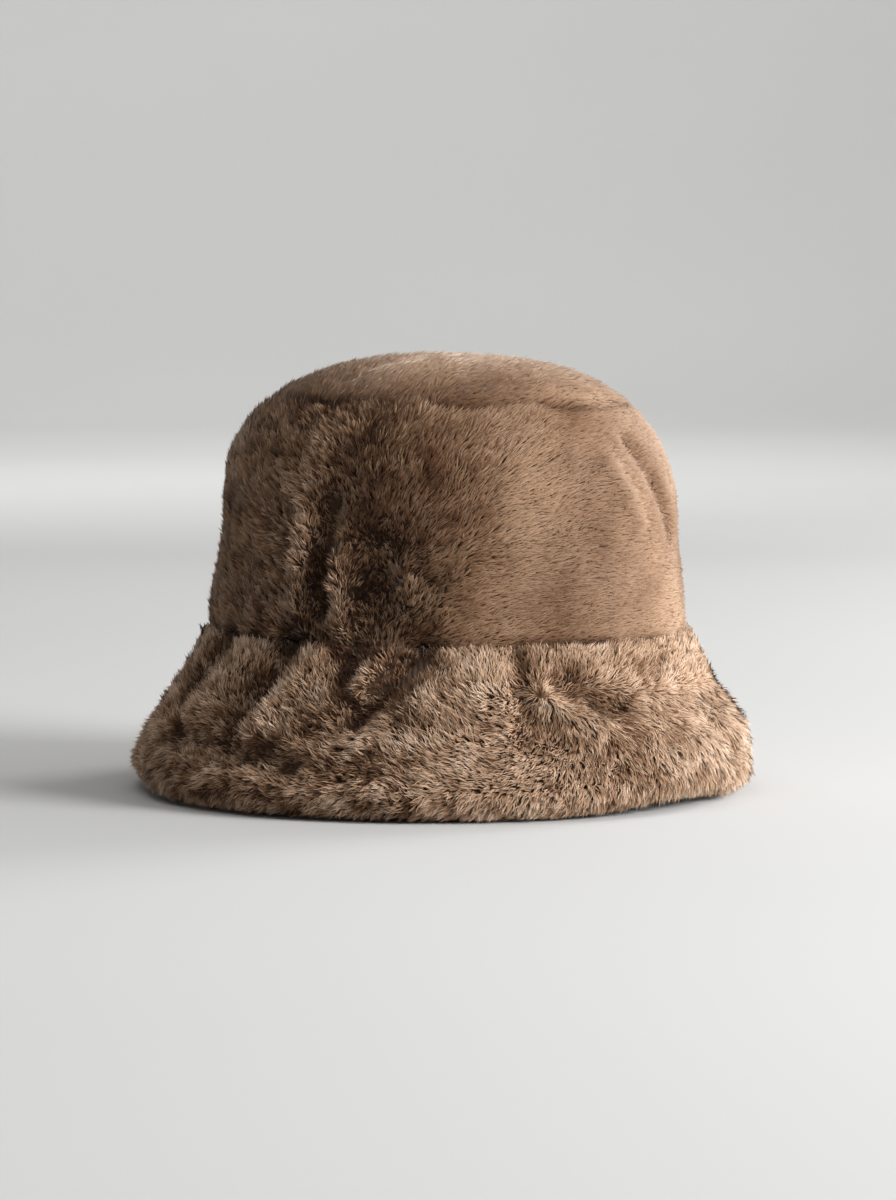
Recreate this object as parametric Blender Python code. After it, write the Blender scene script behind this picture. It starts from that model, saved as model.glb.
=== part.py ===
"""A faux-fur cloche hat: a domed crown of two panels and a turned-down brim of two fur layers.

Metres, +Z up. The hat rests on its rim at z = 0, the origin is under the middle of the hat, the front
faces -Y and the wearer's right side faces -X. A turn is counted in degrees round the hat: 0 is the front,
90 the wearer's right side, 180 the back and 270 the left side.
"""

import bpy
import bmesh
from collections import namedtuple
from math import cos, exp, hypot, pi, radians, sin
from random import Random

# Head opening: the fur's outer surface at the seam between crown and brim, half of each way across
SEAM_SIDE = 0.095
SEAM_FRONT = 0.107
SEAM_MEAN = (SEAM_SIDE + SEAM_FRONT) / 2
BACK_FULLNESS = 0.03
# The head opening's middle lies this far in front of the middle of the brim's outline
OPENING_FORWARD = 0.0019

# Heights above the surface that the rim rests on
SEAM_HEIGHT = 0.069
WALL_TOP = 0.111
CROWN_TOP = 0.190

# The crown: its wall leans in a little, then rounds over in one full curve to the middle of the tip
WALL_TAPER = 0.0035
CAP_ROUNDNESS = 2.55
TIP_SEAM_PHASE = radians(44)

# Thickness of one layer of fur fabric, its backing and its brushed pile together
CROWN_WALL = 0.009
SEAM_GAP = 0.0003

# The brim: two layers back to back, rolled into a fat rounded rim
RIM_RADIUS = 0.0105
RIM_OUT = 0.0235
RIM_FLAT = 0.005
BRIM_LIP = 0.003
BRIM_BULGE = 0.0010
BRIM_SEAM_OUT = -0.0035
RIM_OUTER_ANGLE = radians(29)
RIM_INNER_ANGLE = radians(200)
RIM_SOLE_ANGLE = radians(-62)
SIDE_SPREAD = 0.0045
BACK_SPREAD = 0.0025

# Locks of pile: staggered tufts that hang down and overlap like slates. A lock rises from its root row
# to its point row, and the pile parts in the columns between the locks.
COLUMNS = 84
LOCK_RELIEF = (0.0014, 0.0004, -0.0012)
LOCK_PARTING = -0.0011
LOCK_UNEVEN = 0.0003
LOCK_SEED = 7
SHARP_EDGE = radians(24)

# How far along a profile its direction is measured
PROFILE_STEP = 0.01

# Rows of points round the hat on each face, from the piece's lower or outer end to its other end
WALL_ROWS = 7
CAP_ROWS = 8
TIP_ROWS = 8
TIP_TOP_PHASE = radians(84)
TIP_LINING_PHASES = (radians(60), radians(76))
CAP_LINING_SHARES = (0.62, 0.28)
WALL_LINING_SHARE = 0.6
MIDDLE_ROWS = 4
BRIM_ROWS = 8
BRIM_TOP_SHARE = 0.95
RIM_ROWS = 6
UNDER_ROWS = 6
UNDER_TOP_SHARE = 0.12
UNDER_FOOT_SHARE = 0.86
UNDER_RIM_ROWS = 3

# How much of a fold shows on each surface of the brim. Below 0 the pile points inwards, so a fold that
# pushes the upper layer out pushes that pile back.
UPPER_FOLDS = 1.0
RIM_FOLDS = 0.5
UNDER_FOLDS = -0.6
NO_FOLDS = 0.0

# A crease or ridge of the cloth runs from one place on the hat to another, and fades out over its half width
Fold = namedtuple("Fold", "name start_turn start_height end_turn end_height half_width push")
FOLDS = (
    Fold("side_ridge_back", 103, 0.118, 104, 0.084, 0.0052, 0.0044),
    Fold("side_groove", 97, 0.128, 98, 0.082, 0.0044, -0.0060),
    Fold("side_ridge_front", 94, 0.108, 92, 0.078, 0.0046, 0.0042),
    Fold("side_dent", 85, 0.108, 84, 0.090, 0.0130, -0.0056),
    Fold("side_dent_ridge", 78, 0.103, 76, 0.088, 0.0044, 0.0024),
    Fold("side_crown_hollow", 95, 0.146, 92, 0.130, 0.0090, -0.0026),
    Fold("front_ridge", 23, 0.146, 15, 0.122, 0.0065, 0.0018),
    Fold("front_groove", 10, 0.154, -5, 0.116, 0.0065, -0.0018),
    Fold("left_soft_dent", 262, 0.120, 275, 0.098, 0.0200, -0.0030),
    Fold("back_ridge", 196, 0.104, 202, 0.078, 0.0070, 0.0024),
    Fold("back_groove", 186, 0.112, 190, 0.080, 0.0070, -0.0026),
    Fold("back_soft_dent", 152, 0.122, 164, 0.100, 0.0220, -0.0026),
    Fold("brim_pillow", 60, 0.056, 70, 0.050, 0.0110, 0.0034),
    Fold("brim_long_groove", 72, 0.066, 83, 0.045, 0.0048, -0.0062),
    Fold("brim_long_groove_end", 85, 0.043, 91, 0.036, 0.0046, -0.0034),
    Fold("brim_short_ridge", 80, 0.065, 84, 0.055, 0.0044, 0.0030),
    Fold("brim_short_groove", 88, 0.063, 87, 0.052, 0.0044, -0.0036),
    Fold("brim_side_ridge", 96, 0.062, 104, 0.034, 0.0064, 0.0040),
    Fold("brim_side_groove", 106, 0.066, 107, 0.050, 0.0050, -0.0054),
    Fold("brim_side_groove_end", 109, 0.046, 110, 0.031, 0.0050, -0.0042),
    Fold("brim_back_ridge", 117, 0.060, 122, 0.040, 0.0072, 0.0034),
    Fold("brim_back_groove", 129, 0.066, 134, 0.044, 0.0060, -0.0044),
    Fold("brim_nape_groove", 150, 0.064, 162, 0.036, 0.0075, -0.0040),
    Fold("brim_rim_crease", 128, 0.030, 108, 0.027, 0.0046, -0.0042),
    Fold("brim_rim_crease_end", 105, 0.026, 94, 0.023, 0.0044, -0.0052),
    Fold("brim_star_crease", 51, 0.066, 50, 0.034, 0.0042, -0.0026),
    Fold("brim_star_ridge", 47, 0.051, 35, 0.040, 0.0044, 0.0036),
    Fold("brim_front_hollow", 41, 0.054, 30, 0.047, 0.0056, -0.0044),
    Fold("brim_star_hollow", 46, 0.040, 44, 0.033, 0.0046, -0.0026),
    Fold("brim_notch", 3, 0.034, -6, 0.022, 0.0050, -0.0030),
    Fold("brim_front_roll", 12, 0.028, -44, 0.028, 0.0130, 0.0040),
    Fold("brim_left_groove", 318, 0.062, 296, 0.030, 0.0062, -0.0046),
    Fold("brim_left_ridge", 306, 0.062, 286, 0.034, 0.0075, 0.0034),
    Fold("brim_rear_groove", 240, 0.062, 218, 0.030, 0.0062, -0.0044),
    Fold("brim_rear_ridge", 230, 0.064, 206, 0.038, 0.0080, 0.0034),
)

# Where the soft rim lifts a little off the surface; elsewhere it rests flat
Lift = namedtuple("Lift", "turn half_width rise")
RIM_LIFTS = (
    Lift(14, 34, 0.0045),
    Lift(148, 26, 0.0030),
    Lift(262, 30, 0.0040),
)

FUR_BROWN = (0.30, 0.185, 0.115, 1.0)
FUR_ROUGHNESS = 0.92


def clear_scene():
    for item in list(bpy.data.objects):
        bpy.data.objects.remove(item, do_unlink=True)


def fur_material(name):
    material = bpy.data.materials.new(name)
    material.use_nodes = True
    shader = material.node_tree.nodes["Principled BSDF"]
    shader.inputs["Base Color"].default_value = FUR_BROWN
    shader.inputs["Roughness"].default_value = FUR_ROUGHNESS
    shader.inputs["Metallic"].default_value = 0.0
    material.diffuse_color = FUR_BROWN
    return material


# Folds and lifts of the cloth

def turn_between(first, second):
    """The shorter way round from one turn to another, in degrees."""
    return (second - first + 180) % 360 - 180


def fold_push(turn, height):
    """How far the folds push the cloth out at a place on the hat."""
    per_degree = SEAM_MEAN * pi / 180
    total = 0.0
    for fold in FOLDS:
        across = turn_between(fold.start_turn, turn) * per_degree
        up = height - fold.start_height
        run_across = turn_between(fold.start_turn, fold.end_turn) * per_degree
        run_up = fold.end_height - fold.start_height
        share = (across * run_across + up * run_up) / (run_across ** 2 + run_up ** 2)
        share = min(max(share, 0.0), 1.0)
        away = hypot(across - share * run_across, up - share * run_up)
        total += fold.push * exp(-(away / fold.half_width) ** 2)
    return total


def rim_lift(turn):
    """How far the rim lifts off the surface it rests on, and nothing between the lifts."""
    total = 0.0
    for lift in RIM_LIFTS:
        share = abs(turn_between(lift.turn, turn)) / lift.half_width
        if share < 1:
            total += lift.rise * (1 + cos(pi * share)) / 2
    return total


# Profiles: each gives (share of the seam's oval, distance out from it, height)

def wall_profile(share_up):
    """The crown's wall, from the brim seam up to where the cap's curve starts."""
    out = -WALL_TAPER * share_up ** 1.5
    return 1.0, out, SEAM_HEIGHT + (WALL_TOP - SEAM_HEIGHT) * share_up


def cap_profile(phase):
    """The crown's cap, a rounded curve from the wall's top to the middle of the tip."""
    across = max(cos(phase), 0.0) ** (2 / CAP_ROUNDNESS)
    up = sin(phase) ** (2 / CAP_ROUNDNESS)
    return across, -WALL_TAPER * across, WALL_TOP + (CROWN_TOP - WALL_TOP) * up


def rim_profile(angle):
    """The rolled rim's round, flattened at z = 0 where it rests."""
    return 1.0, RIM_OUT + RIM_RADIUS * cos(angle), RIM_RADIUS * (1 + sin(angle))


def brim_profile(share_up):
    """The upper brim's fur, from the rim up to its lip at the crown seam."""
    _, foot_out, foot_height = rim_profile(RIM_OUTER_ANGLE)
    out = foot_out + (BRIM_LIP - foot_out) * share_up + BRIM_BULGE * sin(pi * share_up)
    return 1.0, out, foot_height + (SEAM_HEIGHT - foot_height) * share_up


def under_profile(share_down):
    """The under-brim's fur, from the head opening down to the rim's inner side."""
    _, foot_out, foot_height = rim_profile(RIM_INNER_ANGLE)
    out = -CROWN_WALL + (foot_out + CROWN_WALL) * share_down
    return 1.0, out, SEAM_HEIGHT + (foot_height - SEAM_HEIGHT) * share_down


def middle_profile(share_up):
    """The surface between the brim's two layers, from the middle of the rim's round up to the seam."""
    out = RIM_OUT + (BRIM_SEAM_OUT - RIM_OUT) * share_up
    return 1.0, out, RIM_RADIUS + (SEAM_HEIGHT - RIM_RADIUS) * share_up


def sole_profile(out):
    """The flat under the rim, where the pile is pressed on the surface."""
    return 1.0, out, 0.0


def pile_direction(profile, along):
    """The direction, out and up, in which the pile stands on a profile.

    It is square to the profile: to its outer side where the profile runs up, as the crown's and the rim's do,
    and to its inner side where it runs down, as the under-brim's does.
    """
    share_a, out_a, height_a = profile(along - PROFILE_STEP if along > PROFILE_STEP else along)
    share_b, out_b, height_b = profile(along + PROFILE_STEP)
    out = (share_b - share_a) * SEAM_MEAN + out_b - out_a
    up = height_b - height_a
    length = hypot(out, up)
    return up / length, -out / length


def place(turn, share, out, height):
    """The point of the hat at a turn, for a share of the seam's oval and a distance out from it."""
    angle = radians(turn)
    fullness = 1 - BACK_FULLNESS * cos(angle)
    side = (SEAM_SIDE * share + out) * fullness
    front = SEAM_FRONT * share + out
    return -side * sin(angle), -front * cos(angle) - OPENING_FORWARD, height


# Rows of points: each function returns one closed ring of points round the hat

def turns(columns):
    return [360 * column / columns for column in range(columns)]


def crown_row(profile, along, inward=0.0, slide=0.0, relief=None, level=False):
    """A ring of the crown, set in from the fur's surface, and slid along the cloth by the seam's gap."""
    share, out, height = profile(along)
    face_out, face_up = (1.0, 0.0) if level else pile_direction(profile, along)
    row = []
    for index, turn in enumerate(turns(COLUMNS)):
        lift = fold_push(turn, height) - inward
        if relief:
            lift += relief(index) * share
        row.append(place(turn, share, out + lift * face_out - slide * face_up,
                         height + lift * face_up + slide * face_out))
    return row


def brim_row(profile, along, share_down, fold_share, shift=0.0, relief=None):
    """A ring of the brim. It stays level at the crown's seam and flat where it rests."""
    share, out, height = profile(along)
    level = share_down == 0 or fold_share == NO_FOLDS and relief is None
    upright = (1.0 if fold_share >= 0 else -1.0, 0.0)
    face_out, face_up = upright if level else pile_direction(profile, along)
    row = []
    for index, turn in enumerate(turns(COLUMNS)):
        lift = fold_push(turn, height) * fold_share
        if relief:
            lift += relief(index)
        angle = radians(turn)
        spread = -(SIDE_SPREAD * cos(2 * angle) + BACK_SPREAD * cos(angle)) * share_down
        rise = rim_lift(turn) * share_down ** 2
        top = height + lift * face_up + rise
        row.append(place(turn, share, out + shift + lift * face_out + spread, max(top, 0.0)))
    return row


def lock_relief(row_index, seed, upwards=False):
    """The height of the pile's locks along one row: crests on even columns, partings between them.

    Rows are counted down the hat, from root to point, or upwards from the foot of the piece.
    """
    random = Random(LOCK_SEED * 1000 + seed * 100 + row_index)
    uneven = [random.uniform(-LOCK_UNEVEN, LOCK_UNEVEN) for _ in range(COLUMNS)]
    count = len(LOCK_RELIEF)

    def relief(column):
        if column % 2:
            return LOCK_PARTING + uneven[column]
        stagger = (column // 2) % 2 * (count - 1)
        step = row_index + stagger if upwards else -row_index - stagger
        return LOCK_RELIEF[step % count] + uneven[column]

    return relief


def steps(first, last, count):
    """Evenly spaced values, both ends included."""
    return [first + (last - first) * index / (count - 1) for index in range(count)]


# Solids made from rows

def bridge_rows(mesh, first, second):
    """Joins two rings of vertices with triangles, cut the same way on both faces of a seam."""
    count = len(first)
    for index in range(count):
        after = (index + 1) % count
        mesh.faces.new((first[index], first[after], second[after]))
        mesh.faces.new((first[index], second[after], second[index]))


def finish(name, mesh):
    bmesh.ops.recalc_face_normals(mesh, faces=mesh.faces)
    data = bpy.data.meshes.new(name)
    mesh.to_mesh(data)
    mesh.free()
    data.shade_smooth()
    data.set_sharp_from_angle(angle=SHARP_EDGE)
    data.materials.append(fur_material(name + "_fur"))
    piece = bpy.data.objects.new(name, data)
    bpy.context.scene.collection.objects.link(piece)
    return piece


def ring_solid(name, rows):
    """A closed band round the hat, from rows that go once round its section."""
    mesh = bmesh.new()
    rings = [[mesh.verts.new(point) for point in row] for row in rows]
    for index, ring in enumerate(rings):
        bridge_rows(mesh, ring, rings[(index + 1) % len(rings)])
    return finish(name, mesh)


def dish_solid(name, rows, outer_middle, inner_middle):
    """A closed dish, from rows that go from the middle of its outer face to the middle of its inner face."""
    mesh = bmesh.new()
    rings = [[mesh.verts.new(point) for point in row] for row in rows]
    for first, second in zip(rings, rings[1:]):
        bridge_rows(mesh, first, second)
    for ring, middle in ((rings[0], outer_middle), (rings[-1], inner_middle)):
        tip = mesh.verts.new(middle)
        for index, vertex in enumerate(ring):
            mesh.faces.new((tip, vertex, ring[(index + 1) % len(ring)]))
    return finish(name, mesh)


# The four pieces

def crown_side():
    """The side band: fur outside, plain backing inside, cut square at both seams."""
    rows = []
    for index, share_up in enumerate(steps(0, 1, WALL_ROWS)):
        if index == 0:
            rows.append(crown_row(wall_profile, share_up, slide=SEAM_GAP, level=True))
        else:
            rows.append(crown_row(wall_profile, share_up, relief=lock_relief(index, 1, upwards=True)))
    for index, phase in enumerate(steps(0, TIP_SEAM_PHASE, CAP_ROWS)[1:-1]):
        rows.append(crown_row(cap_profile, phase, relief=lock_relief(index + WALL_ROWS, 1, upwards=True)))
    rows.append(crown_row(cap_profile, TIP_SEAM_PHASE, 0, -SEAM_GAP / 2))
    rows.append(crown_row(cap_profile, TIP_SEAM_PHASE, CROWN_WALL, -SEAM_GAP / 2))
    for share in CAP_LINING_SHARES:
        rows.append(crown_row(cap_profile, TIP_SEAM_PHASE * share, CROWN_WALL))
    rows.append(crown_row(wall_profile, WALL_LINING_SHARE, CROWN_WALL))
    rows.append(crown_row(wall_profile, 0.0, CROWN_WALL, SEAM_GAP, level=True))
    return ring_solid("crown_side", rows)


def crown_tip():
    """The oval top panel, slightly domed, cut square round its seam."""
    rows = []
    for index, phase in enumerate(steps(TIP_TOP_PHASE, TIP_SEAM_PHASE, TIP_ROWS)[:-1]):
        rows.append(crown_row(cap_profile, phase, relief=lock_relief(index, 2)))
    rows.append(crown_row(cap_profile, TIP_SEAM_PHASE, 0, SEAM_GAP / 2))
    rows.append(crown_row(cap_profile, TIP_SEAM_PHASE, CROWN_WALL, SEAM_GAP / 2))
    for phase in TIP_LINING_PHASES:
        rows.append(crown_row(cap_profile, phase, CROWN_WALL))
    return dish_solid("crown_tip", rows, (0, 0, CROWN_TOP), (0, 0, CROWN_TOP - CROWN_WALL))


def backing_rows(shift):
    """One face of the seam between the brim's layers, from the rim's sole up to the crown's seam."""
    rows = [brim_row(sole_profile, RIM_OUT, 1, NO_FOLDS, shift)]
    for share_up in steps(0, 1, MIDDLE_ROWS):
        rows.append(brim_row(middle_profile, share_up, 1 - share_up, UPPER_FOLDS, shift))
    return rows


def brim_top():
    """The upper layer of the brim: its lip at the crown seam, its flare, and the rim's outer half."""
    rows = [brim_row(brim_profile, 1, 0, UPPER_FOLDS, -BRIM_LIP)]
    for index, share_up in enumerate(steps(BRIM_TOP_SHARE, 0, BRIM_ROWS)):
        rows.append(brim_row(brim_profile, share_up, 1 - share_up, UPPER_FOLDS, 0, lock_relief(index, 3)))
    for index, angle in enumerate(steps(RIM_OUTER_ANGLE, RIM_SOLE_ANGLE, RIM_ROWS)[1:]):
        rows.append(brim_row(rim_profile, angle, 1, RIM_FOLDS, 0, lock_relief(index + BRIM_ROWS, 3)))
    rows.append(brim_row(sole_profile, RIM_OUT + RIM_FLAT, 1, NO_FOLDS))
    rows += backing_rows(SEAM_GAP / 2)
    return ring_solid("brim_top", rows)


def brim_under():
    """The under-brim: the layer that faces the wearer, and the rim's inner half."""
    rows = [brim_row(under_profile, 0, 0, UNDER_FOLDS)]
    for index, share_down in enumerate(steps(UNDER_TOP_SHARE, UNDER_FOOT_SHARE, UNDER_ROWS)):
        rows.append(brim_row(under_profile, share_down, share_down, UNDER_FOLDS, 0, lock_relief(index, 4)))
    for index, angle in enumerate(steps(RIM_INNER_ANGLE, pi - RIM_SOLE_ANGLE, UNDER_RIM_ROWS)):
        rows.append(brim_row(rim_profile, angle, 1, NO_FOLDS, 0, lock_relief(index + UNDER_ROWS, 4)))
    rows.append(brim_row(sole_profile, RIM_OUT - RIM_FLAT, 1, NO_FOLDS))
    rows += backing_rows(-SEAM_GAP / 2)
    return ring_solid("brim_under", rows)


def main():
    clear_scene()
    crown_tip()
    crown_side()
    brim_top()
    brim_under()


main()
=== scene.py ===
"""The looks of a faux-fur cloche hat: brushed pile on its crown, and deep fluffy pile on its rolled brim.

Metres, +Z up. The hat rests on its rim at z = 0, its front faces -Y and the wearer's right side faces -X.
A turn is counted in degrees round the hat: 0 is the front, 90 the wearer's right side, 180 the back and
270 the left side. The hat's form is worked out from the same sizes as the part's own.
"""

from collections import namedtuple
from math import cos, pi, radians, sin

import bpy
import numpy as np
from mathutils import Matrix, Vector


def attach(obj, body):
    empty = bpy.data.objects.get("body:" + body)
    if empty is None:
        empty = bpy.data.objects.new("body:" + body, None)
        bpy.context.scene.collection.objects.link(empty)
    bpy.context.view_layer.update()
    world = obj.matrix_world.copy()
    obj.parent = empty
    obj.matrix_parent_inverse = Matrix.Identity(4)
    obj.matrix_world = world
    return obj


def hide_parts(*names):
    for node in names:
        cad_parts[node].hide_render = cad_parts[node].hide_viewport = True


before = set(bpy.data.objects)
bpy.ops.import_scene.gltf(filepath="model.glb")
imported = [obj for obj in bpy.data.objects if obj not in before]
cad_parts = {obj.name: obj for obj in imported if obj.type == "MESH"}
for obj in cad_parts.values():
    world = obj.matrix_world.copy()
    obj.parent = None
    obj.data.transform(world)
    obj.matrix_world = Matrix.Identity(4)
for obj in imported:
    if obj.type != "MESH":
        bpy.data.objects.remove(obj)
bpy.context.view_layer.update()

# Sizes of the hat, the same as the part's
SEAM_SIDE = 0.095
SEAM_FRONT = 0.107
SEAM_MEAN = (SEAM_SIDE + SEAM_FRONT) / 2
BACK_FULLNESS = 0.03
OPENING_FORWARD = 0.0019
SEAM_HEIGHT = 0.069
WALL_TOP = 0.111
CROWN_TOP = 0.190
WALL_TAPER = 0.0035
TAPER_CURVE = 1.5
CAP_ROUNDNESS = 2.55
TIP_SEAM_PHASE = radians(44)
CROWN_WALL = 0.009
RIM_RADIUS = 0.0105
RIM_OUT = 0.0235
BRIM_LIP = 0.003
BRIM_BULGE = 0.0010
LIP_ROUND = 0.0012
LIP_PLACES = 0.06
RIM_OUTER_ANGLE = radians(29)
RIM_INNER_ANGLE = radians(200)
RIM_SOLE_ANGLE = radians(-62)
SIDE_SPREAD = 0.0045
BACK_SPREAD = 0.0025

Fold = namedtuple("Fold", "name start_turn start_height end_turn end_height half_width push")
FOLDS = (
    Fold("side_ridge_back", 103, 0.118, 104, 0.084, 0.0052, 0.0044),
    Fold("side_groove", 97, 0.128, 98, 0.082, 0.0044, -0.0060),
    Fold("side_ridge_front", 94, 0.108, 92, 0.078, 0.0046, 0.0042),
    Fold("side_dent", 85, 0.108, 84, 0.090, 0.0130, -0.0056),
    Fold("side_dent_ridge", 78, 0.103, 76, 0.088, 0.0044, 0.0024),
    Fold("side_crown_hollow", 95, 0.146, 92, 0.130, 0.0090, -0.0026),
    Fold("front_ridge", 23, 0.146, 15, 0.122, 0.0065, 0.0018),
    Fold("front_groove", 10, 0.154, -5, 0.116, 0.0065, -0.0018),
    Fold("left_soft_dent", 262, 0.120, 275, 0.098, 0.0200, -0.0030),
    Fold("back_ridge", 196, 0.104, 202, 0.078, 0.0070, 0.0024),
    Fold("back_groove", 186, 0.112, 190, 0.080, 0.0070, -0.0026),
    Fold("back_soft_dent", 152, 0.122, 164, 0.100, 0.0220, -0.0026),
    Fold("brim_pillow", 60, 0.056, 70, 0.050, 0.0110, 0.0034),
    Fold("brim_long_groove", 72, 0.066, 83, 0.045, 0.0048, -0.0062),
    Fold("brim_long_groove_end", 85, 0.043, 91, 0.036, 0.0046, -0.0034),
    Fold("brim_short_ridge", 80, 0.065, 84, 0.055, 0.0044, 0.0030),
    Fold("brim_short_groove", 88, 0.063, 87, 0.052, 0.0044, -0.0036),
    Fold("brim_side_ridge", 96, 0.062, 104, 0.034, 0.0064, 0.0040),
    Fold("brim_side_groove", 106, 0.066, 107, 0.050, 0.0050, -0.0054),
    Fold("brim_side_groove_end", 109, 0.046, 110, 0.031, 0.0050, -0.0042),
    Fold("brim_back_ridge", 117, 0.060, 122, 0.040, 0.0072, 0.0034),
    Fold("brim_back_groove", 129, 0.066, 134, 0.044, 0.0060, -0.0044),
    Fold("brim_nape_groove", 150, 0.064, 162, 0.036, 0.0075, -0.0040),
    Fold("brim_rim_crease", 128, 0.030, 108, 0.027, 0.0046, -0.0042),
    Fold("brim_rim_crease_end", 105, 0.026, 94, 0.023, 0.0044, -0.0052),
    Fold("brim_star_crease", 51, 0.066, 50, 0.034, 0.0042, -0.0026),
    Fold("brim_star_ridge", 47, 0.051, 35, 0.040, 0.0044, 0.0036),
    Fold("brim_front_hollow", 41, 0.054, 30, 0.047, 0.0056, -0.0044),
    Fold("brim_star_hollow", 46, 0.040, 44, 0.033, 0.0046, -0.0026),
    Fold("brim_notch", 3, 0.034, -6, 0.022, 0.0050, -0.0030),
    Fold("brim_front_roll", 12, 0.028, -44, 0.028, 0.0130, 0.0040),
    Fold("brim_left_groove", 318, 0.062, 296, 0.030, 0.0062, -0.0046),
    Fold("brim_left_ridge", 306, 0.062, 286, 0.034, 0.0075, 0.0034),
    Fold("brim_rear_groove", 240, 0.062, 218, 0.030, 0.0062, -0.0044),
    Fold("brim_rear_ridge", 230, 0.064, 206, 0.038, 0.0080, 0.0034),
)

Lift = namedtuple("Lift", "turn half_width rise")
RIM_LIFTS = (
    Lift(14, 34, 0.0045),
    Lift(148, 26, 0.0030),
    Lift(262, 30, 0.0040),
)

# The way the pile is brushed: at a turn and height, its heading from straight down the cloth, in degrees,
# above 0 towards larger turns, and how ruffled it is, from 0, combed flat, to 1, fluffed up
Nap = namedtuple("Nap", "turn height heading ruffle")
CROWN_NAPS = (
    Nap(-50, 0.12, -75, 0.20),
    Nap(-15, 0.12, -88, 0.12),
    Nap(20, 0.11, -95, 0.10),
    Nap(20, 0.16, -98, 0.12),
    Nap(45, 0.13, -108, 0.18),
    Nap(45, 0.09, -102, 0.22),
    Nap(64, 0.14, -140, 0.50),
    Nap(66, 0.11, -120, 0.50),
    Nap(66, 0.085, -108, 0.45),
    Nap(56, 0.16, -135, 0.32),
    Nap(74, 0.155, -150, 0.50),
    Nap(74, 0.130, -148, 0.45),
    Nap(82, 0.128, -150, 0.60),
    Nap(76, 0.095, -140, 0.95),
    Nap(85, 0.10, -175, 1.00),
    Nap(88, 0.145, 178, 0.80),
    Nap(93, 0.09, 160, 1.00),
    Nap(104, 0.10, 148, 0.95),
    Nap(106, 0.145, 155, 0.80),
    Nap(124, 0.12, 155, 0.70),
    Nap(145, 0.12, 168, 0.68),
    Nap(165, 0.12, 175, 0.60),
    Nap(185, 0.12, -178, 0.58),
    Nap(205, 0.12, -170, 0.56),
    Nap(225, 0.12, -158, 0.52),
    Nap(243, 0.12, -144, 0.48),
    Nap(260, 0.12, -128, 0.42),
    Nap(276, 0.12, -113, 0.36),
    Nap(292, 0.12, -98, 0.30),
)
TIP_NAPS = (
    Nap(0, 0.187, -60, 0.25),
    Nap(45, 0.187, -105, 0.25),
    Nap(90, 0.187, -150, 0.35),
    Nap(135, 0.187, 165, 0.45),
    Nap(180, 0.187, 120, 0.45),
    Nap(225, 0.187, 75, 0.40),
    Nap(270, 0.187, 30, 0.35),
    Nap(315, 0.187, -15, 0.30),
)
BRIM_NAPS = (
    Nap(-70, 0.060, 165, 0.85),
    Nap(-35, 0.060, 178, 0.85),
    Nap(-5, 0.060, -165, 0.75),
    Nap(14, 0.061, -160, 0.75),
    Nap(28, 0.061, -152, 0.75),
    Nap(40, 0.062, -162, 0.75),
    Nap(49, 0.063, 178, 0.75),
    Nap(58, 0.061, 162, 0.75),
    Nap(70, 0.061, 158, 1.0),
    Nap(83, 0.061, 155, 1.0),
    Nap(97, 0.060, 152, 1.0),
    Nap(112, 0.060, 158, 1.0),
    Nap(128, 0.060, 165, 1.0),
    Nap(145, 0.060, 170, 1.0),
    Nap(180, 0.060, -178, 0.85),
    Nap(215, 0.060, -165, 0.80),
    Nap(250, 0.060, -175, 0.80),
    Nap(-70, 0.042, 125, 0.85),
    Nap(-35, 0.042, 60, 0.85),
    Nap(-5, 0.043, -5, 0.75),
    Nap(14, 0.044, -30, 0.75),
    Nap(28, 0.045, -48, 0.75),
    Nap(40, 0.045, -50, 0.65),
    Nap(48, 0.042, -5, 0.6),
    Nap(54, 0.046, 65, 0.75),
    Nap(62, 0.045, 122, 0.75),
    Nap(72, 0.046, 128, 1.0),
    Nap(84, 0.045, 125, 1.0),
    Nap(96, 0.045, 135, 1.0),
    Nap(110, 0.043, 130, 1.0),
    Nap(126, 0.043, 138, 1.0),
    Nap(145, 0.044, 130, 1.0),
    Nap(180, 0.044, 135, 0.85),
    Nap(215, 0.044, 150, 0.80),
    Nap(250, 0.044, 120, 0.80),
    Nap(-40, 0.026, 10, 0.85),
    Nap(-5, 0.026, 8, 0.75),
    Nap(18, 0.027, 5, 0.75),
    Nap(34, 0.028, 5, 0.75),
    Nap(47, 0.028, 25, 0.6),
    Nap(55, 0.029, 80, 0.65),
    Nap(64, 0.029, 122, 0.75),
    Nap(76, 0.030, 108, 1.0),
    Nap(90, 0.031, 105, 1.0),
    Nap(105, 0.032, 112, 1.0),
    Nap(120, 0.030, 90, 1.0),
    Nap(145, 0.028, 70, 1.0),
    Nap(-40, 0.010, 0, 0.85),
    Nap(0, 0.010, 0, 0.75),
    Nap(22, 0.010, 12, 0.75),
    Nap(38, 0.012, 30, 0.75),
    Nap(50, 0.013, 55, 0.75),
    Nap(63, 0.013, 62, 0.75),
    Nap(78, 0.013, 66, 1.0),
    Nap(92, 0.012, 66, 1.0),
    Nap(106, 0.012, 45, 1.0),
    Nap(125, 0.012, 28, 1.0),
    Nap(180, 0.014, 15, 0.85),
    Nap(230, 0.014, 25, 0.80),
    Nap(280, 0.014, 5, 0.80),
)
UNDER_NAPS = (
    Nap(0, 0.04, 10, 1.0),
    Nap(60, 0.04, -25, 1.0),
    Nap(120, 0.04, 20, 1.0),
    Nap(180, 0.04, -15, 1.0),
    Nap(240, 0.04, 25, 1.0),
    Nap(300, 0.04, -20, 1.0),
)

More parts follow.
